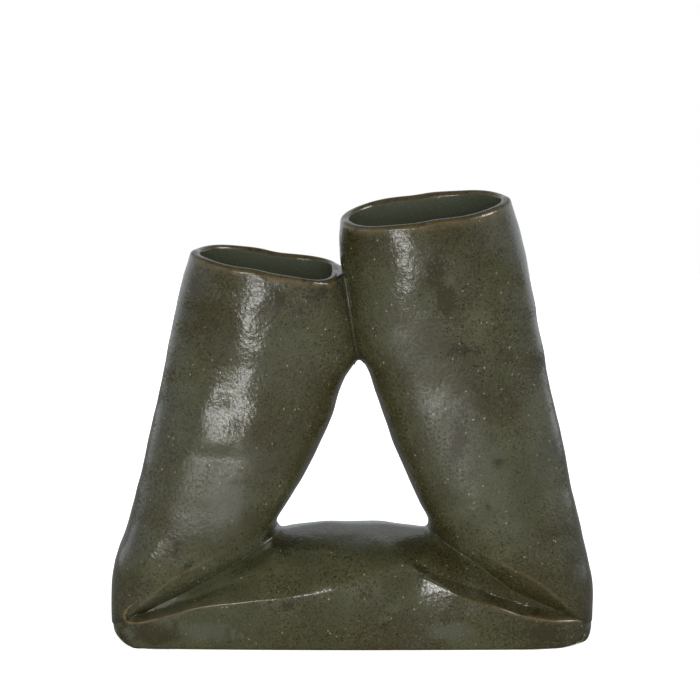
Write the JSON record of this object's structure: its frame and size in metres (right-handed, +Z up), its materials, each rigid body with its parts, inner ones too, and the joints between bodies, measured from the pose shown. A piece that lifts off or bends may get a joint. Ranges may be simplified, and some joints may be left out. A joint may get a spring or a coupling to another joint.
{
  "type": "pillow vase",
  "caption": "Hand-built stoneware vase: a soft tube folded up at its ends into leaning arms that touch at the neck, with oval mouths and an open window between them.",
  "frame": {"origin": "centre of the underside, on the surface it stands on", "axes": "+X to the right as seen from the front, along the base; +Y away from the front, through the window; +Z up"},
  "size_m": [0.2438, 0.0808, 0.2226],
  "materials": {
    "glaze": "glossy mottled olive and brown reactive glaze",
    "slip": "glossy dark glaze pooled over the joint"
  },
  "bodies": {
    "root": {"base_pillow": "glaze", "floor_slab": "glaze", "left_arm": "glaze", "right_arm": "glaze", "left_fold_slip": "slip", "right_fold_slip": "slip", "neck_slip": "slip"}
  },
  "joints": []
}
